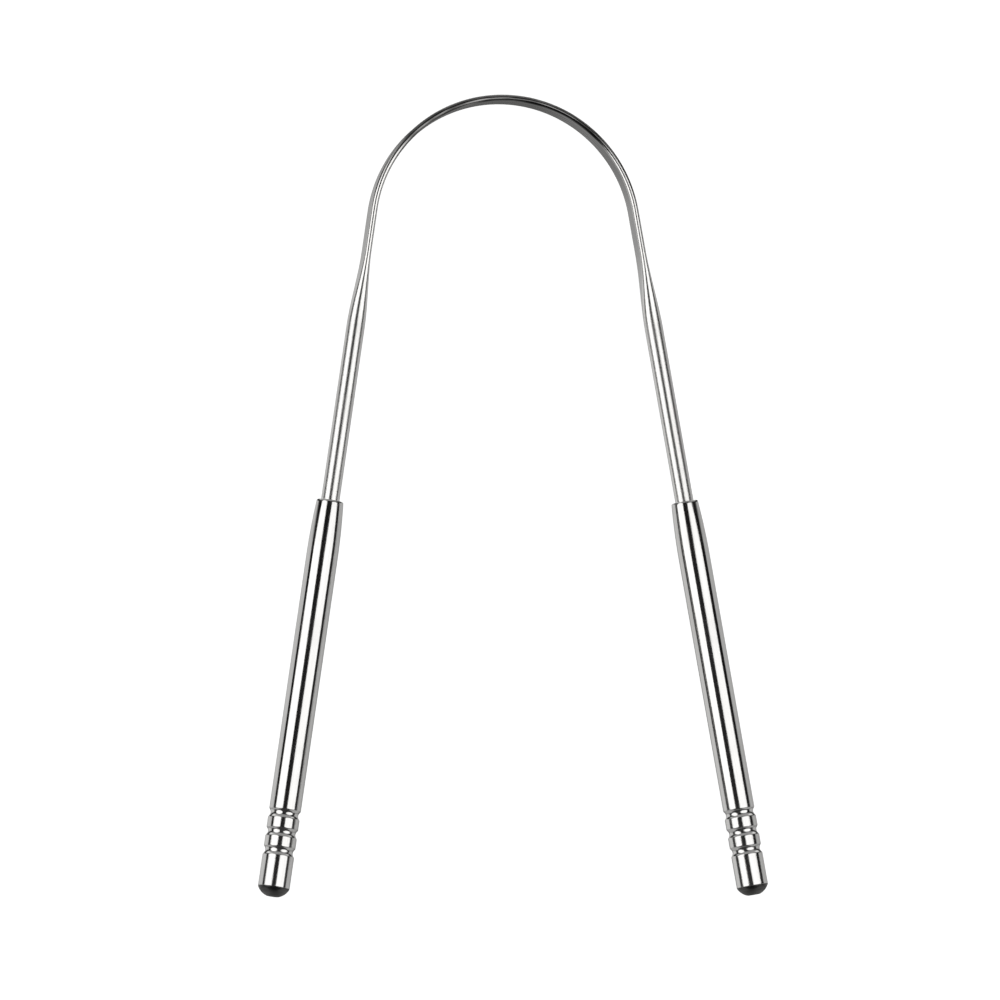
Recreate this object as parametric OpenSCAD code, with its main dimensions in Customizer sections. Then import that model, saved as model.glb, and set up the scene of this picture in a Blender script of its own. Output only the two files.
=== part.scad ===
// Tongue scraper: one wire bent to a U and rolled flat round its arch, with a grooved
// tube handle swaged on to each end and a plug that closes each tube.
// The U lies flat: the arch is at +Y, the handles point to -Y and +Z is up.
// The origin is under the middle of the outline, on the surface that the scraper lies on.

/* [Arch and legs] */
// Radius of the arch, to the middle of the metal
arch_r = 25.5; // [20:0.1:32]
// Angle that each leg leans out from the middle plane
leg_lean = 9.15; // [4:0.05:14]
// Length of each leg from the end of the arch to the mouth of its handle
leg_len = 56.3; // [48:0.1:70]

/* [Wire and blade] */
// Diameter of the round wire
wire_d = 3.5; // [3:0.1:3.9]
// Width of the flattened blade
blade_w = 5.5; // [4.5:0.1:7]
// Thickness of the flattened blade
blade_t = 1.25; // [0.8:0.05:1.8]
// Flat length of each leg, below the arch
flat_len = 7.8; // [2:0.2:12]
// Length over which the flat turns into round wire
blend_len = 15; // [10:0.5:20]
// Length of wire inside each handle
shank_in = 24; // [14:1:30]

/* [Handle tube] */
// Outside diameter of the handle tube
tube_d = 6; // [5.8:0.1:7]
// Wall of the handle tube
tube_wall = 0.75; // [0.5:0.05:0.85]
// Length of the handle tube
tube_len = 74.1; // [64:0.1:90]
// Length of the rounded nose, where the tube is drawn down
nose_len = 10.8; // [8:0.2:14]
// Outside diameter of the tube at its mouth
mouth_d = 5.1; // [4.9:0.1:5.6]
// Length of the bore at the mouth that grips the wire
grip_len = 5; // [3:0.5:7]
// Rounding of the mouth's outer edge
mouth_round = 0.15; // [0.1:0.05:0.3]

/* [Rolled grooves] */
// Number of grooves round each handle
groove_count = 3; // [1:1:5]
// Distance from one groove to the next
groove_pitch = 3.56; // [3.4:0.02:4.4]
// Distance from the last groove's middle to the end of the tube
groove_inset = 6.85; // [4:0.05:10]
// Depth of each groove
groove_depth = 0.37; // [0.2:0.01:0.5]
// Radius of the hollow of each groove
groove_r = 1; // [0.8:0.05:1.5]
// Rounding of the shoulders beside each groove
shoulder_r = 0.4; // [0.1:0.05:0.5]

/* [End plug] */
// Height of the plug's head above the end of the tube
head_h = 1.7; // [1:0.1:2.5]
// Diameter of the small flat on top of the head
head_flat_d = 2.3; // [1.5:0.1:3]
// Radius of the crowned side of the head
head_crown_r = 3; // [2.5:0.1:6]
// Bevel that leads the plug and the wire ends into their bores
lead_in = 0.3; // [0.1:0.05:0.5]

/* [Fits] */
// Gap round the wire in the gripping bore
wire_gap = 0.03; // [0.02:0.01:0.05]
// Gap round the plug in the tube
plug_gap = 0.02; // [0.01:0.01:0.04]

/* [Hidden] */

$fn = 64;
steel = [0.80, 0.80, 0.79];
bright_steel = [0.86, 0.86, 0.85];

// Steps along half of the arch, along a blend and round half of the bow's section
arch_steps = 27;
blend_steps = 20;
half_steps = 15;
// Each end of the swept skin lies this far inside the round wire, and reaches this far past the blend
skin_inset = 0.01;
skin_reach = 0.5;
// Number of steps along the long arc of the nose, and along each short arc
nose_steps = 14;
arc_steps = 10;

wire_r = wire_d / 2;
// Distance down the leg at which the round wire starts, halfway along the skin's reach
wire_start = flat_len + blend_len + skin_reach / 2;
tube_r = tube_d / 2;
bore_r = tube_r - tube_wall;
grip_r = wire_r + wire_gap;
plug_r = bore_r - plug_gap;

// Height of the middle plane: the thickest part just rests on the surface
mid_z = max(tube_d, blade_w) / 2;
// Middles of the grooves, from the first to the last, measured along the tube
grooves = [for (i = [groove_count - 1:-1:0]) tube_len - groove_inset - i * groove_pitch];
// Distance of the hollow's centre from the axis of the tube
hollow_x = tube_r + groove_r - groove_depth;

// Points along an arc, as [distance from the axis, distance along it]
function arc(centre, r, from, to, steps) =
    [for (i = [0:steps]) let (a = from + (to - from) * i / steps) centre + r * [cos(a), sin(a)]];

// The same points moved along the axis
function moved(points, y) = [for (p = points) p + [0, y]];

// One groove in the outside of the tube: shoulder, hollow, shoulder
shoulder_x = tube_r - shoulder_r;
shoulder_y = sqrt(pow(groove_r + shoulder_r, 2) - pow(hollow_x - shoulder_x, 2));
shoulder_turn = atan2(shoulder_y, hollow_x - shoulder_x);
groove_outside = concat(
    arc([shoulder_x, -shoulder_y], shoulder_r, 0, shoulder_turn, arc_steps / 2),
    arc([hollow_x, 0], groove_r, 180 + shoulder_turn, 180 - shoulder_turn, arc_steps),
    arc([shoulder_x, shoulder_y], shoulder_r, -shoulder_turn, 0, arc_steps / 2));

// The bead that a groove pushes up inside the tube, at a distance gap from the metal
bead_r = groove_r + tube_wall;
bead_half = sqrt(pow(bead_r, 2) - pow(hollow_x - bore_r, 2));
function bead(gap) = let (
    r = bead_r + gap,
    turn = acos((hollow_x - bore_r + gap) / r))
    arc([hollow_x, 0], r, 180 - turn, 180 + turn, arc_steps);

// Outside of the tube from the mouth to the end
nose_r = (pow(nose_len, 2) + pow(tube_r - mouth_d / 2, 2)) / (tube_d - mouth_d);
nose_turn = asin((nose_len - mouth_round) / nose_r);
tube_outside = concat(
    arc([mouth_d / 2 - mouth_round, mouth_round], mouth_round, -90, -nose_turn, arc_steps / 2),
    arc([tube_r - nose_r, nose_len], nose_r, -nose_turn * (1 - 1 / nose_steps), 0, nose_steps),
    [for (y = grooves) each moved(groove_outside, y)],
    [[tube_r, tube_len]]);

// Inside of the tube from the end back to the mouth
tube_inside = concat(
    [[bore_r, tube_len]],
    [for (i = [1:groove_count]) each moved(bead(0), grooves[groove_count - i])],
    [[bore_r, nose_len], [grip_r, grip_len], [grip_r, 0]]);

// Crowned side of the plug's head, from the edge of the tube to the small flat
head_edge = [tube_r, tube_len];
head_top = [head_flat_d / 2, tube_len + head_h];
head_chord = norm(head_top - head_edge);
head_lean = atan2(head_top[1] - head_edge[1], head_top[0] - head_edge[0]);
head_half = asin(head_chord / 2 / head_crown_r);
head_centre = (head_edge + head_top) / 2
    - sqrt(pow(head_crown_r, 2) - pow(head_chord / 2, 2)) * [sin(head_lean), -cos(head_lean)];
head_side = arc(head_centre, head_crown_r, head_lean - 90 - head_half, head_lean - 90 + head_half, arc_steps);

// Half outline of the plug: the spigot with the groove that the last bead sits in, then the head.
// The spigot ends midway between the last two beads, and its bevel stays clear of the last one.
last_groove = grooves[groove_count - 1];
spigot_end = last_groove - groove_pitch / 2;
spigot_bevel = min(lead_in, 0.8 * (groove_pitch / 2 - bead_half));
plug_outline = concat(
    [[0, spigot_end], [plug_r - spigot_bevel, spigot_end], [plug_r, spigot_end + spigot_bevel]],
    [for (i = [arc_steps:-1:0]) bead(plug_gap)[i] + [0, last_groove]],
    [[plug_r, tube_len]],
    head_side,
    [[0, tube_len + head_h]]);

// Height of the arch's centre above the middle of the outline, from its top and bottom ends
leg_start = arch_r * [cos(leg_lean), sin(leg_lean)];
reach_up = arch_r + blade_t / 2;
reach_down = leg_len * cos(leg_lean) - leg_start[1]
    + max([for (p = head_side) p[1] * cos(leg_lean) + p[0] * sin(leg_lean)]);
arch_y = (reach_down - reach_up) / 2;

// Places a piece that is drawn along +Z on the leg of one side, a distance along it
module on_leg(side, along)
    translate([side * leg_start[0], arch_y + leg_start[1], mid_z])
        rotate([0, 0, side * leg_lean])
            rotate([90, 0, 0])
                translate([0, 0, along])
                    children();

// Section of the bow, as [out from the arch, up] points: a slot shape that swells to a circle.
// The share is 0 where the metal is flat and 1 where it is round.
function section(share) = let (
    eased = share * share * (3 - 2 * share),
    r = blade_t / 2 + (wire_r - skin_inset - blade_t / 2) * eased,
    spread = (blade_w - blade_t) / 2 + (skin_inset / 2 - (blade_w - blade_t) / 2) * eased)
    [for (half = [0, 1], i = [0:half_steps])
        let (a = 180 * (half + i / half_steps))
        [r * cos(a), r * sin(a) + (half == 0 ? spread : -spread)]];

// Stations along the bow, as [turn round the arch, distance along a leg], left to right
side_turn = 90 - leg_lean;
down_leg = concat(
    [for (i = [0:blend_steps]) flat_len + blend_len * i / blend_steps],
    [flat_len + blend_len + skin_reach]);
stations = concat(
    [for (i = [len(down_leg) - 1:-1:0]) [-side_turn, down_leg[i]]],
    [for (i = [-arch_steps:arch_steps]) [side_turn * i / arch_steps, 0]],
    [for (y = down_leg) [side_turn, y]]);

// Ring of points round the bow at one station
function ring(station) = let (
    turn = station[0],
    out = [sin(turn), cos(turn), 0],
    along = sign(turn) * station[1] * [cos(turn), -sin(turn), 0],
    middle = [0, arch_y, mid_z] + arch_r * out + along)
    [for (p = section(min(max((station[1] - flat_len) / blend_len, 0), 1)))
        middle + p[0] * out + [0, 0, p[1]]];

// Blade and both blends as one swept skin
module flat_and_blends() {
    size = 2 * (half_steps + 1);
    points = [for (station = stations) each ring(station)];
    sides = [for (k = [0:len(stations) - 2], i = [0:size - 1])
        let (a = k * size + i, b = k * size + (i + 1) % size)
        each [[a, a + size, b], [b, a + size, b + size]]];
    left_end = [for (i = [0:size - 1]) i];
    right_end = [for (i = [size - 1:-1:0]) (len(stations) - 1) * size + i];
    polyhedron(points, concat([left_end], sides, [right_end]));
}

// Round wire of one leg, from just past the blend to its bevelled end inside the handle
module shank(side) {
    length = leg_len + shank_in - wire_start;
    on_leg(side, wire_start)
        rotate_extrude()
            polygon([[0, 0], [wire_r, 0], [wire_r, length - lead_in], [wire_r - lead_in, length], [0, length]]);
}

module scraper_bow() color(steel) {
    flat_and_blends();
    shank(-1);
    shank(1);
}

module handle_sleeve(side) color(bright_steel)
    on_leg(side, leg_len)
        rotate_extrude()
            polygon(concat(tube_outside, tube_inside));

module end_plug(side) color(steel)
    on_leg(side, leg_len)
        rotate_extrude()
            polygon(plug_outline);

scraper_bow();
handle_sleeve(-1);  // left_handle_sleeve
handle_sleeve(1);  // right_handle_sleeve
end_plug(-1);  // left_end_plug
end_plug(1);  // right_end_plug
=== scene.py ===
"""A steel tongue scraper, dressed for a studio picture.

The scraper is one bent wire, rolled flat round its arch, with a grooved tube for a handle on each
end and a turned plug in the end of each tube. Sizes are in millimetres until a mesh is finished.
"""

from __future__ import annotations

import logging
import math
from dataclasses import dataclass, field
from enum import Enum
from functools import cached_property
from typing import Union

import bmesh
import bpy
from bmesh.types import BMEdge, BMesh, BMVert
from bpy.types import Material, Node, NodeSocket, NodeTree, Object
from mathutils import Matrix, Vector

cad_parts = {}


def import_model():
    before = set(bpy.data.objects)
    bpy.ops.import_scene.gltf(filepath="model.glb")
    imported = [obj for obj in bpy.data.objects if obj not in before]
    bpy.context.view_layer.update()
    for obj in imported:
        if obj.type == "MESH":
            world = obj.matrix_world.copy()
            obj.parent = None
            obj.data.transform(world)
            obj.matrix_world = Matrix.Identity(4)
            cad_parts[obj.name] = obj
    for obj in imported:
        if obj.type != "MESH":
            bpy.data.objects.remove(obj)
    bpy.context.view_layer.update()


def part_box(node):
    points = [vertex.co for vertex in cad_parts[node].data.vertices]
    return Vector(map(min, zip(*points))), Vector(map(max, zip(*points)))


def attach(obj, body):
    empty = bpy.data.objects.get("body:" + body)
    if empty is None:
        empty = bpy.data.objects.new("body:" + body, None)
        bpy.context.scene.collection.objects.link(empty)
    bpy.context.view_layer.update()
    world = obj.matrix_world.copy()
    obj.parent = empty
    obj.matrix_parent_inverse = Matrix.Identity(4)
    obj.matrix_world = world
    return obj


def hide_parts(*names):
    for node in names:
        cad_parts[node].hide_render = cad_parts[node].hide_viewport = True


MM = 0.001
BODY = "root"
STRAIGHT = "straight"
# Points closer than this many millimetres are one, in a mesh and across the bow's middle
SAME_POINT = 1e-5
SEAM_REACH = 1e-4
# Length of the short edge that keeps a straight line's shading flat up to its end, and how many
# times as long a line has to be to get one at each end
EDGE_SUPPORT = 0.06
SPLIT_LENGTH = 4

Socket = Union[NodeSocket, float]
Sources = dict[Union[str, int], object]
Colour = tuple[float, float, float]
# The start and the end of a range over which something changes
Band = tuple[float, float]


class Side(Enum):
    """One of the two legs of the bow, with its sign along X."""

    LEFT = -1
    RIGHT = 1

    @property
    def word(self) -> str:
        """The side as it stands in the names of nodes and pieces."""
        return self.name.lower()


class Grain(Enum):
    """The way that the fine lines of a finish run, with the name of its node group."""

    LENGTHWISE = "Lengthwise grain"
    TURNED = "Turned grain"


class Part(Enum):
    """The part of the blade that is ground, with the share of it that counts as edge."""

    FACES = 0.0
    EDGES = 1.0


# Layout


@dataclass(frozen=True)
class BowLayout:
    """The line that the middle of the metal follows: an arch with a straight leg on each end.

    A distance along it is measured from the top of the arch, positive down the right leg.
    """

    arch_radius: float = 25.5
    lean: float = math.radians(9.15)
    leg_length: float = 56.3
    centre_y: float = 0.0
    mid_z: float = 0.0

    @classmethod
    def from_frame(cls, blade_thickness: float) -> BowLayout:
        """Finds where the arch stands from the bow's own node.

        Args:
            blade_thickness: Thickness of the blade, whose outside is at the far end of the box.

        Returns:
            The layout, in the frame's place.
        """
        low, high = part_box("scraper_bow")
        middle = high.y / MM - blade_thickness / 2
        return cls(centre_y=middle - cls.arch_radius, mid_z=(low.z + high.z) / 2 / MM)

    @property
    def half_turn(self) -> float:
        """Angle from the top of the arch to the start of a leg."""
        return math.pi / 2 - self.lean

    @property
    def half_arch(self) -> float:
        """Length of metal from the top of the arch to the start of a leg."""
        return self.arch_radius * self.half_turn

    @property
    def centre(self) -> Vector:
        """Centre of the arch, in the middle plane."""
        return Vector((0.0, self.centre_y, self.mid_z))

    def station(self, distance: float) -> Matrix:
        """Places a section of the bow.

        Args:
            distance: Distance along the bow from the top of the arch.

        Returns:
            A matrix whose X points out of the arch, Y up and Z along the bow.
        """
        turn = max(-self.half_turn, min(self.half_turn, distance / self.arch_radius))
        out = Vector((math.sin(turn), math.cos(turn), 0.0))
        along = Vector((math.cos(turn), -math.sin(turn), 0.0))
        past_turn = distance - turn * self.arch_radius
        middle = self.centre + out * self.arch_radius + along * past_turn
        axes = Matrix((out, Vector((0.0, 0.0, 1.0)), along)).transposed()
        return Matrix.Translation(middle) @ axes.to_4x4()

    def on_leg(self, side: Side, along: float) -> Matrix:
        """Places a piece that is turned round +Z on a leg, with +Z down the leg.

        Args:
            side: The leg.
            along: Distance of the piece's foot from the start of the leg.

        Returns:
            The matrix of the piece.
        """
        place = self.station(side.value * (self.half_arch + along))
        if side is Side.LEFT:
            place = place @ Matrix.Rotation(math.pi, 4, "Y")
        return place

    def straighten(self, point: Vector) -> Vector:
        """Gives a point of the bow the place that it had in the straight wire.

        Args:
            point: A point near the metal.

        Returns:
            Its distance out from the middle line, up from it, and along it.
        """
        arm = point - self.centre
        turn = math.atan2(arm.x, arm.y)
        if abs(turn) <= self.half_turn:
            out = math.hypot(arm.x, arm.y) - self.arch_radius
            return Vector((out, arm.z, turn * self.arch_radius))
        sign = math.copysign(1.0, turn)
        foot = self.station(sign * self.half_arch)
        local = foot.inverted() @ point
        return Vector((local.x, local.y, local.z + sign * self.half_arch))


# Mesh tools


def mark_straight(bm: BMesh, place: list[Vector]) -> None:
    """Keeps where each point lay in the straight metal, for the grain to follow.

    Args:
        bm: The mesh.
        place: One place for each vertex, in the mesh's order.
    """
    layer = bm.verts.layers.float_vector.new(STRAIGHT)
    for vertex, spot in zip(bm.verts, place):
        vertex[layer] = spot


def finish_piece(bm: BMesh, name: str, finish: SteelFinish, replaced: str) -> Object:
    """Turns a finished mesh, in millimetres, into a piece that stands for its node.

    Args:
        bm: The mesh, which is freed.
        name: Name of the piece.
        finish: The finish that it takes.
        replaced: The node that the piece stands for.

    Returns:
        The new object, at the origin, riding on the body.
    """
    bmesh.ops.scale(bm, vec=(MM, MM, MM), verts=bm.verts)
    bmesh.ops.recalc_face_normals(bm, faces=bm.faces)
    for face in bm.faces:
        face.smooth = True
    mesh = bpy.data.meshes.new(name)
    bm.to_mesh(mesh)
    bm.free()
    mesh.materials.append(finish.material())
    piece = bpy.data.objects.new(name, mesh)
    bpy.context.scene.collection.objects.link(piece)
    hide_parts(replaced)
    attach(piece, BODY)
    return piece


def report_piece(piece: Object, replaced: str) -> None:
    """Logs a piece's triangles, and how far its box is from the box of its node.

    Args:
        piece: The finished piece.
        replaced: The node that it stands for.
    """
    low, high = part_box(replaced)
    spans = [[corner[axis] for corner in piece.bound_box] for axis in range(3)]
    off = max(
        max(abs(min(span) - low[axis]), abs(max(span) - high[axis]))
        for axis, span in enumerate(spans)
    )
    triangles = sum(len(face.vertices) - 2 for face in piece.data.polygons)
    words = "%s: %d triangles, box within %.3f mm of its node"
    logging.info(words, piece.name, triangles, off / MM)


class ProfilePen:
    """Draws half of a turned piece's outline, with X as the distance from its axis."""

    def __init__(self, radius: float, along: float) -> None:
        """Sets the pen down at the first point.

        Args:
            radius: Distance of the point from the axis.
            along: Distance of the point along the axis.
        """
        self.bm = bmesh.new()
        self.first: BMVert = bmesh.ops.create_vert(self.bm, co=(radius, 0.0, along))["vert"][0]
        self.tip = self.first

    def line(self, radius: float, along: float, support: float = EDGE_SUPPORT) -> ProfilePen:
        """Draws a straight line, with a short edge at each end that keeps its shading flat.

        Args:
            radius: Distance of the line's end from the axis.
            along: Distance of the line's end along the axis.
            support: Length of the short edges, or 0 for none.

        Returns:
            The pen.
        """
        start = self.tip.co.copy()
        end = Vector((radius, 0.0, along))
        span = (end - start).length
        stops = [1.0]
        if span > SPLIT_LENGTH * support:
            stops = [support / span, 1.0 - support / span, 1.0]
        for share in stops:
            self.tip = bmesh.ops.extrude_vert_indiv(self.bm, verts=[self.tip])["verts"][0]
            self.tip.co = start.lerp(end, share)
        return self

    def arc(self, radius: float, along: float, turn: float, steps: int) -> ProfilePen:
        """Draws an arc round a centre.

        Args:
            radius: Distance of the arc's centre from the axis.
            along: Distance of the arc's centre along the axis.
            turn: Angle of the arc in radians, positive from the radius towards the axis.
            steps: Number of edges.

        Returns:
            The pen.
        """
        made = bmesh.ops.spin(
            self.bm,
            geom=[self.tip],
            cent=(radius, 0.0, along),
            axis=(0.0, -1.0, 0.0),
            angle=turn,
            steps=steps,
        )
        self.tip = next(item for item in made["geom_last"] if isinstance(item, BMVert))
        return self

    def close(self) -> ProfilePen:
        """Joins the last point to the first."""
        self.line(self.first.co.x, self.first.co.z)
        return self

    def turned(self, steps: int) -> BMesh:
        """Spins the outline a full turn round the axis.

        Args:
            steps: Number of steps round.

        Returns:
            The closed mesh, with each vertex's place marked.
        """
        bmesh.ops.remove_doubles(self.bm, verts=self.bm.verts, dist=SAME_POINT)
        bmesh.ops.spin(
            self.bm,
            geom=self.bm.verts[:] + self.bm.edges[:],
            cent=(0.0, 0.0, 0.0),
            axis=(0.0, 0.0, 1.0),
            angle=math.tau,
            steps=steps,
            use_merge=True,
        )
        bmesh.ops.remove_doubles(self.bm, verts=self.bm.verts, dist=SAME_POINT)
        mark_straight(self.bm, [vertex.co.copy() for vertex in self.bm.verts])
        return self.bm


# Sub-assemblies


@dataclass
class ScraperBow:
    """The wire that is rolled flat round the arch and blends back to round on both legs."""

    layout: BowLayout
    finish: SteelFinish
    wire_diameter: float = 3.5
    blade_width: float = 5.5
    blade_thickness: float = 1.25
    flat_length: float = 7.8
    blend_length: float = 15.0
    shank_depth: float = 24.0
    end_bevel: float = 0.3
    bevel_support: float = 0.1
    arch_steps: int = 96
    blend_steps: int = 48
    round_steps: int = 72
    flat_cuts: int = 5

    @property
    def node(self) -> str:
        """The node that the bow stands for."""
        return "scraper_bow"

    def _ring(self, bm: BMesh, distance: float, share: float, shrink: float) -> list[BMEdge]:
        """Makes one section of the bow: a slot shape that swells to a circle.

        Args:
            bm: The mesh that it goes into.
            distance: Distance along the bow.
            share: How far the section has turned from flat, 0, to round, 1.
            shrink: How much smaller its radius is, for a bevel.

        Returns:
            The edges of the ring.
        """
        eased = share * share * (3.0 - 2.0 * share)
        thickness = self.blade_thickness + (self.wire_diameter - self.blade_thickness) * eased
        spread = (self.blade_width - self.blade_thickness) / 2 * (1.0 - eased)
        verts = bmesh.ops.create_circle(
            bm,
            segments=self.round_steps,
            radius=thickness / 2 - shrink,
            matrix=Matrix.Rotation(math.pi / self.round_steps, 4, "Z"),
        )["verts"]
        upper = [vertex for vertex in verts if vertex.co.y > 0.0]
        lower = [vertex for vertex in verts if vertex.co.y < 0.0]
        bmesh.ops.translate(bm, vec=(0.0, spread, 0.0), verts=upper)
        bmesh.ops.translate(bm, vec=(0.0, -spread, 0.0), verts=lower)
        bmesh.ops.transform(bm, matrix=self.layout.station(distance), verts=verts)
        return list({edge for vertex in verts for edge in vertex.link_edges})

    def _right_half(self) -> BMesh:
        """Builds the bow from the top of the arch to the end of the right shank.

        Returns:
            The mesh, open at the top of the arch.
        """
        bm = bmesh.new()
        start = self._ring(bm, 0.0, 0.0, 0.0)
        spun = bmesh.ops.spin(
            bm,
            geom=start + list({vertex for edge in start for vertex in edge.verts}),
            cent=self.layout.centre,
            axis=(0.0, 0.0, -1.0),
            angle=self.layout.half_turn,
            steps=self.arch_steps,
        )
        ring = [item for item in spun["geom_last"] if isinstance(item, BMEdge)]
        blend_start = self.layout.half_arch + self.flat_length
        wire_end = self.layout.half_arch + self.layout.leg_length + self.shank_depth
        bevel_start = wire_end - self.end_bevel
        shares = [step / self.blend_steps for step in range(self.blend_steps + 1)]
        stops = [(blend_start + self.blend_length * share, share, 0.0) for share in shares]
        stops.append((bevel_start - self.bevel_support, 1.0, 0.0))
        stops.append((bevel_start, 1.0, 0.0))
        stops.append((wire_end, 1.0, self.end_bevel))
        for distance, share, shrink in stops:
            following = self._ring(bm, distance, share, shrink)
            bmesh.ops.bridge_loops(bm, edges=ring + following)
            ring = following
        bmesh.ops.edgeloop_fill(bm, edges=ring)
        across = [edge for edge in bm.edges if self._crosses_middle(edge)]
        bmesh.ops.subdivide_edges(bm, edges=across, cuts=self.flat_cuts, use_grid_fill=True)
        return bm

    def _crosses_middle(self, edge: BMEdge) -> bool:
        """Whether an edge runs from above the middle plane to below it."""
        first, second = (vertex.co.z - self.layout.mid_z for vertex in edge.verts)
        return first * second < 0.0

    def build(self) -> Object:
        """Builds the whole bow and dresses it.

        Returns:
            The finished piece.
        """
        bm = self._right_half()
        bmesh.ops.mirror(
            bm,
            geom=bm.verts[:] + bm.edges[:] + bm.faces[:],
            matrix=Matrix.Identity(4),
            merge_dist=SEAM_REACH,
            axis="X",
        )
        bmesh.ops.remove_doubles(bm, verts=bm.verts, dist=SAME_POINT)
        mark_straight(bm, [self.layout.straighten(vertex.co) for vertex in bm.verts])
        return finish_piece(bm, "steel_bow", self.finish, self.node)


@dataclass(frozen=True)
class RolledGrooves:
    """The grooves that are rolled into the tube near its end."""

    count: int = 3
    pitch: float = 3.56
    inset: float = 6.85
    depth: float = 0.37
    radius: float = 1.0
    shoulder: float = 0.4

    def middles(self, tube_length: float) -> list[float]:
        """Gives the middle of each groove, from the mouth of the tube to its end.

        Args:
            tube_length: Length of the tube.

        Returns:
            The distances along the tube.
        """
        last = tube_length - self.inset
        return [last - step * self.pitch for step in reversed(range(self.count))]


@dataclass
class HandleTube:
    """A handle: a tube whose nose is drawn down on the wire, with grooves near its end."""

    layout: BowLayout
    side: Side
    finish: SteelFinish
    grooves: RolledGrooves = field(default_factory=RolledGrooves)
    diameter: float = 6.0
    wall: float = 0.75
    length: float = 74.1
    nose_length: float = 10.8
    mouth_diameter: float = 5.1
    mouth_round: float = 0.15
    grip_length: float = 5.0
    grip_diameter: float = 3.56
    end_break: float = 0.08
    round_steps: int = 128
    nose_steps: int = 32
    mouth_steps: int = 10
    groove_steps: int = 20
    shoulder_steps: int = 8
    break_steps: int = 6

    @property
    def radius(self) -> float:
        """Outside radius of the tube."""
        return self.diameter / 2

    @property
    def bore_radius(self) -> float:
        """Inside radius of the tube."""
        return self.radius - self.wall

    @property
    def hollow(self) -> float:
        """Distance from the axis to the centre that a groove is rolled round."""
        return self.radius + self.grooves.radius - self.grooves.depth

    @property
    def node(self) -> str:
        """The node that the tube stands for."""
        return f"{self.side.word}_handle_sleeve"

    def bead(self, gap: float) -> tuple[float, float]:
        """Sizes the bead that a groove pushes up inside the tube.

        Args:
            gap: Distance from the metal, for what fits round the bead.

        Returns:
            Its radius, and half the angle over which it stands out of the bore.
        """
        radius = self.grooves.radius + self.wall + gap
        turn = math.acos((self.hollow - (self.bore_radius - gap)) / radius)
        return radius, turn

    def _draw_nose(self, pen: ProfilePen) -> None:
        """Draws the rounded mouth and the long curve of the nose.

        Args:
            pen: The pen, on the mouth's inner edge.
        """
        rise = self.radius - self.mouth_diameter / 2
        nose_radius = (self.nose_length**2 + rise**2) / (2 * rise)
        nose_turn = math.asin((self.nose_length - self.mouth_round) / nose_radius)
        nose_start = self.radius - nose_radius * (1.0 - math.cos(nose_turn))
        rim = self.mouth_diameter / 2 - self.mouth_round
        pen.line(rim, 0.0)
        pen.arc(rim, self.mouth_round, math.pi / 2 - nose_turn, self.mouth_steps)
        pen.line(nose_start, self.mouth_round, support=0.0)
        pen.arc(self.radius - nose_radius, self.nose_length, nose_turn, self.nose_steps)

    def _draw_groove(self, pen: ProfilePen, middle: float) -> None:
        """Draws one groove: a shoulder, the hollow and a shoulder.

        Args:
            pen: The pen, on the outside of the tube.
            middle: Distance of the groove's middle along the tube.
        """
        groove = self.grooves
        land = self.radius - groove.shoulder
        depth = self.hollow - land
        reach = math.sqrt((groove.radius + groove.shoulder) ** 2 - depth**2)
        turn = math.atan2(reach, depth)
        pen.line(self.radius, middle - reach)
        pen.arc(land, middle - reach, turn, self.shoulder_steps)
        pen.arc(self.hollow, middle, -2 * turn, self.groove_steps)
        pen.arc(land, middle + reach, turn, self.shoulder_steps)

    def _draw_bead(self, pen: ProfilePen, middle: float) -> None:
        """Draws one bead, on the way back to the mouth.

        Args:
            pen: The pen, on the inside of the tube.
            middle: Distance of the groove's middle along the tube.
        """
        radius, turn = self.bead(0.0)
        pen.line(self.bore_radius, middle + radius * math.sin(turn))
        pen.arc(self.hollow, middle, 2 * turn, self.groove_steps)

    def build(self) -> Object:
        """Builds the tube on its leg and dresses it.

        Returns:
            The finished piece.
        """
        pen = ProfilePen(self.grip_diameter / 2, 0.0)
        self._draw_nose(pen)
        middles = self.grooves.middles(self.length)
        for middle in middles:
            self._draw_groove(pen, middle)
        broken = self.length - self.end_break
        pen.line(self.radius, broken)
        pen.arc(self.radius - self.end_break, broken, math.pi / 2, self.break_steps)
        pen.line(self.bore_radius, self.length)
        for middle in reversed(middles):
            self._draw_bead(pen, middle)
        pen.line(self.bore_radius, self.nose_length)
        pen.line(self.grip_diameter / 2, self.grip_length)
        pen.close()
        bm = pen.turned(self.round_steps)
        place = self.layout.on_leg(self.side, self.layout.leg_length)
        bmesh.ops.transform(bm, matrix=place, verts=bm.verts)
        return finish_piece(bm, f"{self.side.word}_tube", self.finish, self.node)


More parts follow.
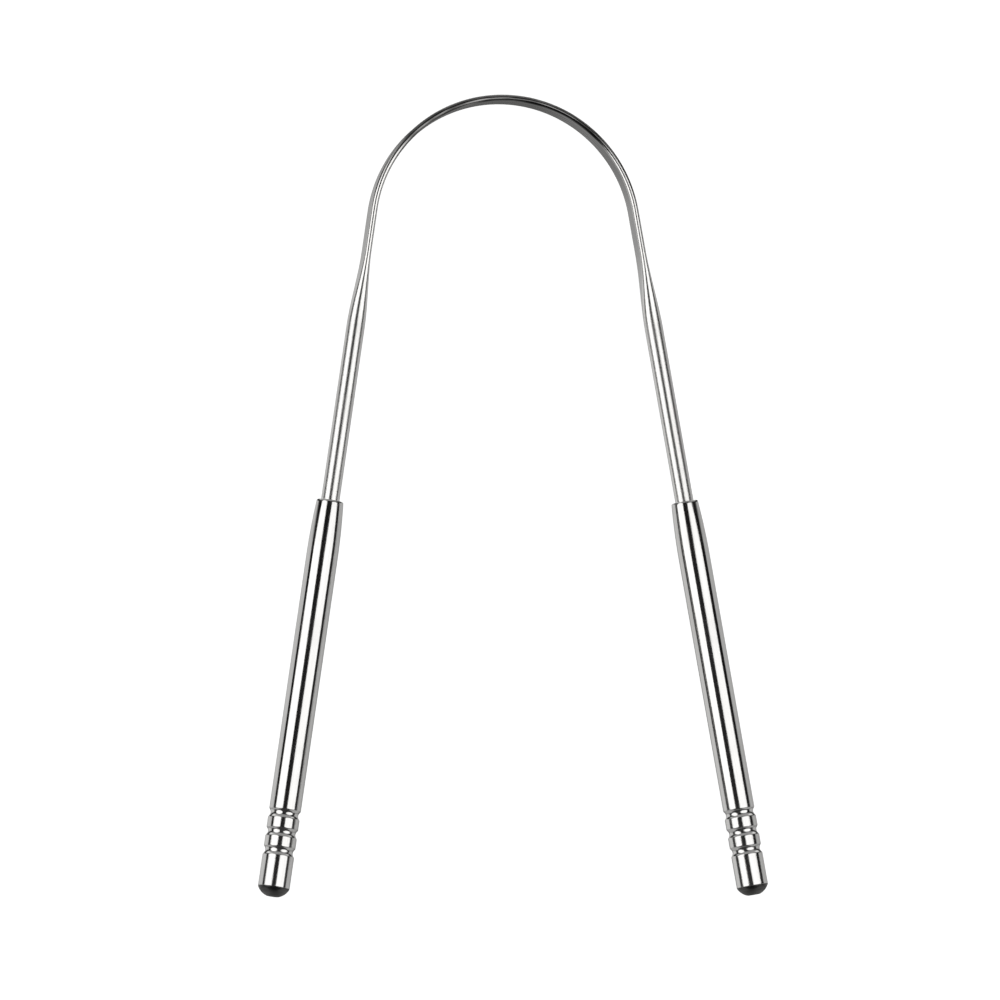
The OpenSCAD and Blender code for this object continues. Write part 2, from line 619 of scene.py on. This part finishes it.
@dataclass
class EndPlug:
    """The turned plug that closes a tube: a spigot inside it and a crowned head outside."""

    layout: BowLayout
    tube: HandleTube
    finish: SteelFinish
    gap: float = 0.02
    head_height: float = 1.7
    flat_diameter: float = 2.3
    crown_radius: float = 3.0
    seam_break: float = 0.08
    spigot_bevel: float = 0.2
    round_steps: int = 128
    crown_steps: int = 20

    @property
    def node(self) -> str:
        """The node that the plug stands for."""
        return f"{self.tube.side.word}_end_plug"

    def _draw_head(self, pen: ProfilePen) -> None:
        """Draws the head from the seam with the tube to the middle of its flat.

        Args:
            pen: The pen, on the spigot at the end of the tube.
        """
        edge = Vector((self.tube.radius, self.tube.length))
        top = Vector((self.flat_diameter / 2, self.tube.length + self.head_height))
        chord = top - edge
        half = math.asin(chord.length / 2 / self.crown_radius)
        inward = Vector((-chord.y, chord.x)).normalized()
        centre = (edge + top) / 2 + inward * self.crown_radius * math.cos(half)
        lift = self.seam_break / self.crown_radius
        start = centre + Matrix.Rotation(lift, 2) @ (edge - centre)
        pen.line(start.x, self.tube.length)
        pen.line(start.x, start.y, support=0.0)
        pen.arc(centre.x, centre.y, 2 * half - lift, self.crown_steps)
        pen.line(0.0, top.y)

    def build(self) -> Object:
        """Builds the plug in its tube and dresses it.

        Returns:
            The finished piece.
        """
        tube = self.tube
        last = tube.grooves.middles(tube.length)[-1]
        foot = last - tube.grooves.pitch / 2
        radius = tube.bore_radius - self.gap
        bead_radius, turn = tube.bead(self.gap)
        pen = ProfilePen(0.0, foot)
        pen.line(radius - self.spigot_bevel, foot)
        pen.line(radius, foot + self.spigot_bevel)
        pen.line(radius, last - bead_radius * math.sin(turn))
        pen.arc(tube.hollow, last, -2 * turn, tube.groove_steps)
        pen.line(radius, tube.length)
        self._draw_head(pen)
        bm = pen.turned(self.round_steps)
        place = self.layout.on_leg(tube.side, self.layout.leg_length)
        bmesh.ops.transform(bm, matrix=place, verts=bm.verts)
        return finish_piece(bm, f"{tube.side.word}_plug", self.finish, self.node)


# Finishes


class Wiring:
    """Adds nodes to a tree and joins them."""

    # Where a colour Mix node keeps its two colours, and where it gives the mixed one
    FIRST_COLOUR, SECOND_COLOUR, MIXED_COLOUR = 6, 7, 2

    def __init__(self, tree: NodeTree) -> None:
        """Takes the tree that the nodes go into."""
        self.tree = tree

    def node(self, kind: str, sources: Sources | None = None, **settings: object) -> Node:
        """Adds a node.

        Args:
            kind: The node's type.
            sources: What goes into it.
            settings: Its own properties, by name.

        Returns:
            The node.
        """
        made = self.tree.nodes.new(kind)
        for name, value in settings.items():
            setattr(made, name, value)
        self.feed(made, sources or {})
        return made

    def feed(self, node: Node, sources: Sources) -> None:
        """Links sockets or sets values into a node.

        Args:
            node: The node.
            sources: A socket or a value for each of its inputs, by the input's name or number.
        """
        for word, source in sources.items():
            if isinstance(source, NodeSocket):
                self.tree.links.new(source, node.inputs[word])
            else:
                node.inputs[word].default_value = source

    def calc(
        self, operation: str, first: Socket, second: Socket = 0.0, clamp: bool = False
    ) -> Socket:
        """Adds a Math node.

        Args:
            operation: What it works out.
            first: The first value.
            second: The second value, where the operation has one.
            clamp: Whether the result is kept between 0 and 1.

        Returns:
            The result's socket.
        """
        sources = {0: first, 1: second}
        made = self.node("ShaderNodeMath", sources, operation=operation, use_clamp=clamp)
        return made.outputs[0]

    def product(self, *factors: Socket) -> Socket:
        """Multiplies values, from the first to the last.

        Args:
            factors: The values.

        Returns:
            The result's socket.
        """
        made = factors[0]
        for factor in factors[1:]:
            made = self.calc("MULTIPLY", made, factor)
        return made

    def ramp(self, value: Socket, band: Band, start: Socket, end: Socket) -> Socket:
        """Changes smoothly from one result to another while a value runs through a band.

        Args:
            value: The value.
            band: The values between which the result changes.
            start: The result up to the band.
            end: The result past the band.

        Returns:
            The result's socket.
        """
        sources = {"Value": value, "To Min": start, "To Max": end}
        sources["From Min"], sources["From Max"] = band
        made = self.node("ShaderNodeMapRange", sources, interpolation_type="SMOOTHSTEP")
        return made.outputs["Result"]

    def noise(self, place: NodeSocket, seed: Socket, detail: float) -> Socket:
        """Adds a noise with its own seed.

        Args:
            place: Where it is read.
            seed: The seed, as the noise's fourth coordinate.
            detail: How many finer layers it has.

        Returns:
            The noise, from 0 to 1.
        """
        sources = {"Vector": place, "W": seed, "Scale": 1.0, "Detail": detail}
        return self.node("ShaderNodeTexNoise", sources, noise_dimensions="4D").outputs["Fac"]

    def scaled(self, place: NodeSocket, across: Socket, along: Socket) -> NodeSocket:
        """Stretches a place.

        Args:
            place: The place.
            across: The factor for X and Y.
            along: The factor for Z.

        Returns:
            The stretched place.
        """
        factors = self.node("ShaderNodeCombineXYZ", {"X": across, "Y": across, "Z": along})
        sources = {0: place, 1: factors.outputs[0]}
        return self.node("ShaderNodeVectorMath", sources, operation="MULTIPLY").outputs[0]

    def mixed(self, share: Socket, first: object, second: object) -> NodeSocket:
        """Mixes two colours.

        Args:
            share: The share of the second colour.
            first: The first colour.
            second: The second colour.

        Returns:
            The mixed colour.
        """
        sources = {"Factor": share, self.FIRST_COLOUR: first, self.SECOND_COLOUR: second}
        return self.node("ShaderNodeMix", sources, data_type="RGBA").outputs[self.MIXED_COLOUR]


class GroupWiring(Wiring):
    """The wiring of a new shared group, with what goes into it and what comes out."""

    def __init__(self, name: str, inputs: dict[str, float], outputs: list[str]) -> None:
        """Makes an empty group that takes a place and some values.

        Args:
            name: Name of the group.
            inputs: Names and defaults of the values that go in after the place.
            outputs: Names of the values that come out.
        """
        super().__init__(bpy.data.node_groups.new(name, "ShaderNodeTree"))
        add = self.tree.interface.new_socket
        add("Place", in_out="INPUT", socket_type="NodeSocketVector")
        for word, default in inputs.items():
            add(word, in_out="INPUT", socket_type="NodeSocketFloat").default_value = default
        for word in outputs:
            add(word, in_out="OUTPUT", socket_type="NodeSocketFloat")
        self.start = self.node("NodeGroupInput").outputs
        self.end = self.node("NodeGroupOutput")


class SharedGroups:
    """The effects that more than one finish uses, each built once as a node group."""

    GRAIN_DETAIL = 3.0
    SMUDGE_DETAIL = 4.0
    SMUDGE_BAND = (0.45, 0.75)
    # Turn of the scratches, and how closely their noise is packed across them and along them
    SCRATCH_TURN = (0.35, 0.22, 0.6)
    SCRATCH_ACROSS = 5.0
    SCRATCH_ALONG = 0.12
    SCRATCH_DETAIL = 1.0
    SCRATCH_BAND = (0.70, 0.76)

    @cached_property
    def lengthwise(self) -> NodeTree:
        """Fine lines that run along the metal, as drawing through a die leaves them.

        Returns:
            The group.
        """
        values = {"Lines": 3.0, "Length": 30.0, "Seed": 0.0}
        wiring = GroupWiring(Grain.LENGTHWISE.value, values, ["Grain"])
        start = wiring.start
        along = wiring.calc("DIVIDE", 1.0, start["Length"])
        place = wiring.scaled(start["Place"], start["Lines"], along)
        grain = wiring.noise(place, start["Seed"], self.GRAIN_DETAIL)
        wiring.feed(wiring.end, {"Grain": grain})
        return wiring.tree

    @cached_property
    def turned(self) -> NodeTree:
        """Fine rings round the axis, as a lathe tool leaves them.

        Returns:
            The group.
        """
        values = {"Lines": 6.0, "Length": 30.0, "Seed": 0.0}
        wiring = GroupWiring(Grain.TURNED.value, values, ["Grain"])
        start = wiring.start
        flat = wiring.scaled(start["Place"], 1.0, 0.0)
        radius = wiring.node("ShaderNodeVectorMath", {0: flat}, operation="LENGTH")
        split = wiring.node("ShaderNodeSeparateXYZ", {0: start["Place"]})
        sources = {"X": radius.outputs["Value"], "Z": split.outputs["Z"]}
        rings = wiring.node("ShaderNodeCombineXYZ", sources).outputs[0]
        place = wiring.scaled(rings, start["Lines"], start["Lines"])
        grain = wiring.noise(place, start["Seed"], self.GRAIN_DETAIL)
        wiring.feed(wiring.end, {"Grain": grain})
        return wiring.tree

    @cached_property
    def handling(self) -> NodeTree:
        """Soft smudges and a few hair scratches, as handling leaves them.

        Returns:
            The group.
        """
        values = {"Smudge Size": 6.0, "Seed": 0.0}
        wiring = GroupWiring("Handling marks", values, ["Smudge", "Scratch"])
        start = wiring.start
        size = wiring.calc("DIVIDE", 1.0, start["Smudge Size"])
        broad = wiring.scaled(start["Place"], size, size)
        smudge = wiring.noise(broad, start["Seed"], self.SMUDGE_DETAIL)
        sources = {"Vector": start["Place"], "Rotation": self.SCRATCH_TURN}
        tilt = wiring.node("ShaderNodeVectorRotate", sources, rotation_type="EULER_XYZ")
        drawn = wiring.scaled(tilt.outputs[0], self.SCRATCH_ACROSS, self.SCRATCH_ALONG)
        hair = wiring.noise(drawn, start["Seed"], self.SCRATCH_DETAIL)
        smudges = wiring.ramp(smudge, self.SMUDGE_BAND, 0.0, 1.0)
        scratches = wiring.ramp(hair, self.SCRATCH_BAND, 0.0, 1.0)
        wiring.feed(wiring.end, {"Smudge": smudges, "Scratch": scratches})
        return wiring.tree

    def grain(self, way: Grain) -> NodeTree:
        """The grain group that runs the given way."""
        return self.lengthwise if way is Grain.LENGTHWISE else self.turned


class MetalWiring(Wiring):
    """The wiring of a material, which knows where a point lay in the straight metal."""

    def __init__(self, tree: NodeTree) -> None:
        """Reads the place, its height from the middle plane and how far along the piece it is.

        Args:
            tree: The material's tree.
        """
        super().__init__(tree)
        self.place = self.node("ShaderNodeAttribute", attribute_name=STRAIGHT).outputs["Vector"]
        split = self.node("ShaderNodeSeparateXYZ", {0: self.place})
        self.height = self.calc("ABSOLUTE", split.outputs["Y"])
        self.along = self.calc("ABSOLUTE", split.outputs["Z"])


@dataclass(frozen=True)
class Surface:
    """What the nodes of a finish have made of the metal so far, as sockets."""

    colour: NodeSocket
    roughness: Socket
    relief: Socket


@dataclass(frozen=True)
class SatinAndPaintedShade:
    """A stretch round the arch that is ground to a satin, with short lines a little aslant.

    The satin is full up to half its length on both sides of the arch's top, and then fades out.
    The border between the blade's faces and its edges is a height from the middle plane. A
    near-black colour, as on the blade's edges, is painted shade.
    """

    part: Part
    half_length: float
    fade: float
    colour: Colour
    roughness: float
    border: float = 2.3
    border_softness: float = 0.15
    lines: float = 1.8
    line_length: float = 7.0
    seed_step: float = 5.0
    slant: float = 0.09
    mottle_band: Band = (0.3, 0.7)
    mottle_roughness: Band = (0.82, 1.12)
    streak_band: Band = (0.35, 0.65)
    streak_colour: float = 0.72

    def grind(self, wiring: MetalWiring, under: Surface, tree: NodeTree, seed: float) -> Surface:
        """Lays the satin over the metal, with its colour, which is painted shade where it is near
        black.

        Args:
            wiring: The wiring of the material.
            under: The metal before it was ground.
            tree: The group of the lines.
            seed: The seed of the metal's own grain.

        Returns:
            The metal with the satin on it.
        """
        fade = (self.half_length, self.half_length + self.fade)
        border = (self.border - self.border_softness, self.border + self.border_softness)
        on_edge = self.part.value
        share = wiring.product(
            wiring.ramp(wiring.along, fade, 1.0, 0.0),
            wiring.ramp(wiring.height, border, 1.0 - on_edge, on_edge),
        )
        sources = {"Vector": wiring.place, "Angle": self.slant}
        tilt = wiring.node("ShaderNodeVectorRotate", sources, rotation_type="X_AXIS")
        lines = {"Lines": self.lines, "Length": self.line_length, "Seed": seed + self.seed_step}
        lines["Place"] = tilt.outputs[0]
        fine = wiring.node("ShaderNodeGroup", lines, node_tree=tree).outputs["Grain"]
        streaks = wiring.ramp(fine, self.streak_band, self.streak_colour, 1.0)
        mottled = wiring.ramp(fine, self.mottle_band, *self.mottle_roughness)
        kept = wiring.product(under.roughness, wiring.calc("SUBTRACT", 1.0, share))
        ground = wiring.product(mottled, self.roughness, share)
        streaked = wiring.product(share, streaks)
        return Surface(
            colour=wiring.mixed(streaked, under.colour, (*self.colour, 1.0)),
            roughness=wiring.calc("ADD", kept, ground),
            relief=wiring.calc("ADD", under.relief, wiring.product(fine, share)),
        )


@dataclass(frozen=True)
class SteelFinish:
    """Stainless steel with its grain, smudges and scratches, and the satins ground on it. The
    near-black colour of the blade's edges and of the plugs is painted shade.

    Past the worn band, measured along the piece, handling has made it a little rougher.
    """

    name: str
    slot: str
    groups: SharedGroups
    way: Grain = Grain.LENGTHWISE
    colour: Colour = (0.66, 0.655, 0.645)
    dull_colour: Colour = (0.58, 0.572, 0.56)
    roughness: float = 0.09
    dull_roughness: float = 0.18
    lines: float = 2.2
    line_length: float = 28.0
    line_band: Band = (0.35, 0.65)
    line_dulling: float = 0.5
    smudge_size: float = 7.0
    smudge_dulling: float = 0.45
    scratch_depth: float = 0.6
    relief: float = 0.4e-6
    worn_band: Band = (46.0, 66.0)
    worn_roughness: float = 0.05
    seed: float = 1.0
    satins: tuple[SatinAndPaintedShade, ...] = ()

    def _bare_metal(self, wiring: MetalWiring) -> Surface:
        """Makes the drawn or turned metal, with its grain and its handling marks.

        Args:
            wiring: The wiring of the material.

        Returns:
            The metal before any satin is ground on it.
        """
        common = {"Place": wiring.place, "Seed": self.seed}
        lines = {"Lines": self.lines, "Length": self.line_length, **common}
        tree = self.groups.grain(self.way)
        grain = wiring.node("ShaderNodeGroup", lines, node_tree=tree).outputs["Grain"]
        smudges = {"Smudge Size": self.smudge_size, **common}
        tree = self.groups.handling
        marks = wiring.node("ShaderNodeGroup", smudges, node_tree=tree).outputs
        dull = wiring.calc(
            "ADD",
            wiring.product(wiring.ramp(grain, self.line_band, 0.0, 1.0), self.line_dulling),
            wiring.product(marks["Smudge"], self.smudge_dulling),
            clamp=True,
        )
        polish = wiring.ramp(dull, (0.0, 1.0), self.roughness, self.dull_roughness)
        worn = wiring.ramp(wiring.along, self.worn_band, 0.0, self.worn_roughness)
        scratches = wiring.product(marks["Scratch"], -self.scratch_depth)
        return Surface(
            colour=wiring.mixed(dull, (*self.colour, 1.0), (*self.dull_colour, 1.0)),
            roughness=wiring.calc("ADD", polish, worn),
            relief=wiring.calc("ADD", grain, scratches),
        )

    def _dress(self, material: Material) -> None:
        """Builds the nodes of the finish.

        Args:
            material: The material, with a plain shader in it.
        """
        wiring = MetalWiring(material.node_tree)
        surface = self._bare_metal(wiring)
        for satin in self.satins:
            surface = satin.grind(wiring, surface, self.groups.lengthwise, self.seed)
        relief = {"Strength": 1.0, "Distance": self.relief, "Height": surface.relief}
        sources = {
            "Metallic": 1.0,
            "Base Color": surface.colour,
            "Roughness": surface.roughness,
            "Normal": wiring.node("ShaderNodeBump", relief).outputs["Normal"],
        }
        wiring.feed(wiring.tree.nodes["Principled BSDF"], sources)

    def material(self) -> Material:
        """Gives the Blender material of the finish.

        Returns:
            The material, built the first time that it is asked for.
        """
        made = bpy.data.materials.get(self.name)
        if made is None:
            made = bpy.data.materials.new(self.name)
            made.use_nodes = True
            self._dress(made)
        return made


# Studio


@dataclass(frozen=True)
class PhotoCamera:
    """The camera, which looks down on the scraper a little from its left and its handle end.

    It aims at the scraper's middle plane, a little off the middle of the outline.
    """

    yaw: float = math.radians(10.06)
    pitch: float = math.radians(6.2)
    roll: float = math.radians(-0.91)
    distance: float = 2000.0
    focal_pixels: float = 10547.0
    image_pixels: float = 1000.0
    sensor: float = 36.0
    aim_across: float = -1.470
    aim_up: float = -1.0
    near_clip: float = 100.0
    far_clip: float = 20000.0

    @property
    def back(self) -> Vector:
        """Direction from the scraper to the camera."""
        flat = math.cos(self.pitch)
        across, up = -math.sin(self.yaw) * flat, -math.sin(self.pitch)
        return Vector((across, up, math.cos(self.yaw) * flat))

    @property
    def axes(self) -> tuple[Vector, Vector]:
        """Directions in the picture.

        Returns:
            The direction to its right, and the direction up in it.
        """
        level = Vector((0.0, 1.0, 0.0)).cross(self.back).normalized()
        upright = self.back.cross(level)
        right = level * math.cos(self.roll) + upright * math.sin(self.roll)
        up = upright * math.cos(self.roll) - level * math.sin(self.roll)
        return right, up

    def build(self, mid_z: float) -> Object:
        """Makes the scene's camera.

        Args:
            mid_z: Height of the scraper's middle plane, in millimetres.

        Returns:
            The camera.
        """
        right, up = self.axes
        aim = Vector((0.0, 0.0, mid_z)) + right * self.aim_across + up * self.aim_up
        data = bpy.data.cameras.new("photo_camera")
        data.sensor_width = self.sensor
        data.lens = self.sensor * self.focal_pixels / self.image_pixels
        data.clip_start = self.near_clip * MM
        data.clip_end = self.far_clip * MM
        camera = bpy.data.objects.new("photo_camera", data)
        turn = Matrix((right, up, self.back)).transposed().to_4x4()
        camera.matrix_world = Matrix.Translation((aim + self.back * self.distance) * MM) @ turn
        bpy.context.scene.collection.objects.link(camera)
        bpy.context.scene.camera = camera
        return camera


@dataclass(frozen=True)
class Softbox:
    """A large soft light, aimed at the scraper, that fills a window of directions.

    Its angles are in degrees from the camera's own direction, across and up in the picture. Its
    distance is in metres.
    """

    name: str
    inner: float
    outer: float
    lower: float
    upper: float
    radiance: float
    distance: float = 0.6

    def build(self, camera: PhotoCamera) -> Object:
        """Makes the light.

        Args:
            camera: The camera that the angles are measured from.

        Returns:
            The light.
        """
        right, up = camera.axes
        middle = math.radians((self.inner + self.outer) / 2)
        rise = math.radians((self.lower + self.upper) / 2)
        toward = camera.back * math.cos(middle) + right * math.sin(middle)
        toward = (toward * math.cos(rise) + up * math.sin(rise)).normalized()
        data = bpy.data.lights.new(self.name, "AREA")
        data.shape = "ELLIPSE"
        spread = math.radians(abs(self.outer - self.inner))
        data.size = 2 * self.distance * math.tan(spread / 2)
        data.size_y = 2 * self.distance * math.tan(math.radians(self.upper - self.lower) / 2)
        # A flat light gives off pi times its radiance over its area, here that of an ellipse
        data.energy = self.radiance * math.pi * math.pi / 4 * data.size * data.size_y
        light = bpy.data.objects.new(self.name, data)
        light.visible_camera = False
        across = up.cross(toward).normalized()
        turn = Matrix((across, toward.cross(across), toward)).transposed().to_4x4()
        light.matrix_world = Matrix.Translation(toward * self.distance) @ turn
        bpy.context.scene.collection.objects.link(light)
        return light


class SkyWiring(Wiring):
    """The wiring of the world, which knows how far a direction points along three axes."""

    def __init__(self, tree: NodeTree, camera: PhotoCamera) -> None:
        """Reads how far it points to the right and up in the picture, and to the camera.

        Args:
            tree: The world's tree.
            camera: The camera of the picture.
        """
        super().__init__(tree)
        direction = self.node("ShaderNodeTexCoord").outputs["Generated"]
        shares = []
        for axis in (*camera.axes, camera.back):
            sources = {0: direction, 1: axis}
            made = self.node("ShaderNodeVectorMath", sources, operation="DOT_PRODUCT")
            shares.append(made.outputs["Value"])
        self.across, self.rise, self.towards = shares


@dataclass(frozen=True)
class Surround:
    """What the polished metal sees round it: a dim studio with pale cards.

    One card lies low on each side and is darker by the handles. A third stands past the handles,
    and a fourth past the arch, paler at its foot. Each band is the part of a direction's share
    along one axis, from -1 to 1, over which the light changes.
    """

    backdrop: float = 1.0
    dim_below: float = 0.05
    dim_above: float = 0.012
    dim_band: Band = (-0.3, 0.3)

    left_card: float = 0.94
    left_band: Band = (-0.27, -0.10)
    between: float = 0.42
    right_card: float = 0.30
    right_band: Band = (0.08, 0.25)
    side_top: Band = (-0.11, -0.07)
    side_arch_end: Band = (0.25, 0.34)
    side_handle_end: Band = (-0.6, -0.4)
    behind: float = 0.8
    behind_band: Band = (-0.95, -0.6)
    handles: float = 0.38
    handles_band: Band = (-0.20, 0.12)
    handles_shift: float = 0.3
    handles_shift_band: Band = (-0.92, -0.7)

    near_card: float = 0.6
    near_band: Band = (-0.55, -0.42)
    near_top: Band = (0.28, 0.40)
    near_middle: float = 0.55
    near_middle_band: Band = (0.20, 0.40)

    far_card: float = 0.5
    far_top: Band = (0.52, 0.80)
    far_foot: float = 0.9
    far_foot_band: Band = (-0.34, -0.14)
    far_band: Band = (0.50, 0.72)

    def _side_cards(self, sky: SkyWiring) -> Socket:
        """Lights the cards on both sides.

        Args:
            sky: The wiring of the world.

        Returns:
            Their light.
        """
        left = sky.ramp(sky.across, self.left_band, self.left_card, self.between)
        right = sky.ramp(sky.across, self.right_band, 0.0, self.right_card)
        low = sky.ramp(sky.towards, self.side_top, 1.0, 0.0)
        behind = sky.ramp(sky.towards, self.behind_band, self.behind, 1.0)
        shift = sky.ramp(sky.towards, self.handles_shift_band, 0.0, self.handles_shift)
        ends = sky.product(
            sky.ramp(sky.calc("ADD", sky.rise, shift), self.handles_band, self.handles, 1.0),
            sky.ramp(sky.rise, self.side_handle_end, 0.0, 1.0),
            sky.ramp(sky.rise, self.side_arch_end, 1.0, 0.0),
        )
        return sky.product(sky.calc("ADD", left, right), sky.product(low, behind, ends))

    def _near_card(self, sky: SkyWiring) -> Socket:
        """Lights the card past the handles.

        Args:
            sky: The wiring of the world.

        Returns:
            Its light, which is weaker in the middle.
        """
        sideways = sky.calc("ABSOLUTE", sky.across)
        return sky.product(
            sky.ramp(sky.rise, self.near_band, self.near_card, 0.0),
            sky.ramp(sky.towards, self.near_top, 1.0, 0.0),
            sky.ramp(sideways, self.near_middle_band, self.near_middle, 1.0),
        )

    def _far_card(self, sky: SkyWiring) -> Socket:
        """Lights the card past the arch.

        Args:
            sky: The wiring of the world.

        Returns:
            Its light.
        """
        card = sky.ramp(sky.towards, self.far_top, self.far_card, 0.0)
        foot = sky.ramp(sky.towards, self.far_foot_band, self.far_foot, 0.0)
        window = sky.ramp(sky.rise, self.far_band, 0.0, 1.0)
        return sky.product(sky.calc("ADD", card, foot), window)

    def build(self, camera: PhotoCamera) -> None:
        """Makes the world.

        Args:
            camera: The camera that the cards stand round.
        """
        world = bpy.data.worlds.new("studio")
        world.use_nodes = True
        bpy.context.scene.world = world
        world.node_tree.nodes.clear()
        sky = SkyWiring(world.node_tree, camera)
        light = sky.ramp(sky.rise, self.dim_band, self.dim_below, self.dim_above)
        for card in (self._side_cards, self._near_card, self._far_card):
            light = sky.calc("ADD", light, card(sky))
        seen = sky.node("ShaderNodeLightPath").outputs["Is Camera Ray"]
        strength = sky.ramp(seen, (0.0, 1.0), light, self.backdrop)
        background = sky.node("ShaderNodeBackground", {"Strength": strength})
        sky.node("ShaderNodeOutputWorld", {"Surface": background.outputs[0]})


@dataclass(frozen=True)
class Floor:
    """The plain pale table under the scraper, lit a little from below like a light table.

    Its size is in metres.
    """

    half_size: float = 6.0
    glow: float = 0.86
    glow_colour: Colour = (1.0, 1.0, 1.0)
    colour: Colour = (0.55, 0.55, 0.55)

    def build(self) -> Object:
        """Makes the floor.

        Returns:
            The floor.
        """
        bm = bmesh.new()
        bmesh.ops.create_grid(bm, x_segments=1, y_segments=1, size=self.half_size)
        mesh = bpy.data.meshes.new("floor")
        bm.to_mesh(mesh)
        bm.free()
        material = bpy.data.materials.new("pale table")
        material.use_nodes = True
        sources = {
            "Base Color": (*self.colour, 1.0),
            "Roughness": 1.0,
            "Specular IOR Level": 0.0,
            "Emission Color": (*self.glow_colour, 1.0),
            "Emission Strength": self.glow,
        }
        Wiring(material.node_tree).feed(material.node_tree.nodes["Principled BSDF"], sources)
        mesh.materials.append(material)
        floor = bpy.data.objects.new("floor", mesh)
        floor.visible_glossy = False
        bpy.context.scene.collection.objects.link(floor)
        return floor


def set_picture() -> None:
    """Shows the light as it is, with no film curve over it."""
    settings = bpy.context.scene.view_settings
    settings.view_transform = "Standard"
    settings.look = "None"
    settings.exposure = 0.0


def build_studio(layout: BowLayout) -> None:
    """Builds the camera, the lights, the surround and the floor.

    Args:
        layout: Where the scraper lies.
    """
    camera = PhotoCamera()
    camera.build(layout.mid_z)
    left = Softbox(
        "left_softbox", inner=-20.0, outer=-72.0, lower=-28.0, upper=42.0, radiance=1.65
    )
    right = Softbox(
        "right_softbox", inner=12.0, outer=70.0, lower=-29.0, upper=28.0, radiance=1.55
    )
    for softbox in (left, right):
        softbox.build(camera)
    Surround().build(camera)
    Floor().build()
    set_picture()


def steel_finishes(layout: BowLayout) -> tuple[SteelFinish, SteelFinish, SteelFinish]:
    """Gives the finishes of the three kinds of piece.

    Args:
        layout: The line that the bow follows.

    Returns:
        The finish of the bow, of the tubes and of the plugs.
    """
    # How far down each leg the satin on the blade's faces is full
    down_leg = 4.0
    groups = SharedGroups()
    faces = SatinAndPaintedShade(
        Part.FACES,
        half_length=layout.half_arch + down_leg,
        fade=14.0,
        colour=(0.43, 0.425, 0.415),
        roughness=0.27,
    )
    # Painted shade: the near-black colour of the blade's edges round the arch stands in for the
    # dark studio that they reflect; their fine lines and low roughness are the metal's own.
    edges = SatinAndPaintedShade(
        Part.EDGES, half_length=19.0, fade=8.0, colour=(0.065, 0.064, 0.063), roughness=0.11
    )
    wire = SteelFinish(
        "drawn wire with painted edge shade",
        "bow_steel",
        groups,
        colour=(0.72, 0.713, 0.70),
        dull_colour=(0.65, 0.643, 0.63),
        roughness=0.19,
        dull_roughness=0.27,
        satins=(faces, edges),
    )
    tube = SteelFinish("polished tube", "handle_steel", groups, seed=2.0)
    # Painted shade: the plugs' near-black colour stands in for the dark side of the studio that
    # their heads reflect; their turned rings, smudges and roughness are the metal's own.
    plug = SteelFinish(
        "turned plug with painted shade",
        "plug_steel",
        groups,
        way=Grain.TURNED,
        colour=(0.115, 0.114, 0.111),
        dull_colour=(0.08, 0.079, 0.077),
        roughness=0.20,
        dull_roughness=0.30,
        lines=4.0,
        seed=3.0,
    )
    return wire, tube, plug


def main() -> None:
    """Loads the frame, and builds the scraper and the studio."""
    logging.basicConfig(level=logging.INFO, format="%(message)s")
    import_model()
    layout = BowLayout.from_frame(ScraperBow.blade_thickness)
    wire, tube_steel, plug_steel = steel_finishes(layout)
    bow = ScraperBow(layout, wire)
    report_piece(bow.build(), bow.node)
    for side in Side:
        tube = HandleTube(layout, side, tube_steel)
        report_piece(tube.build(), tube.node)
        plug = EndPlug(layout, tube, plug_steel)
        report_piece(plug.build(), plug.node)
    build_studio(layout)


if __name__ == "__main__":
    main()
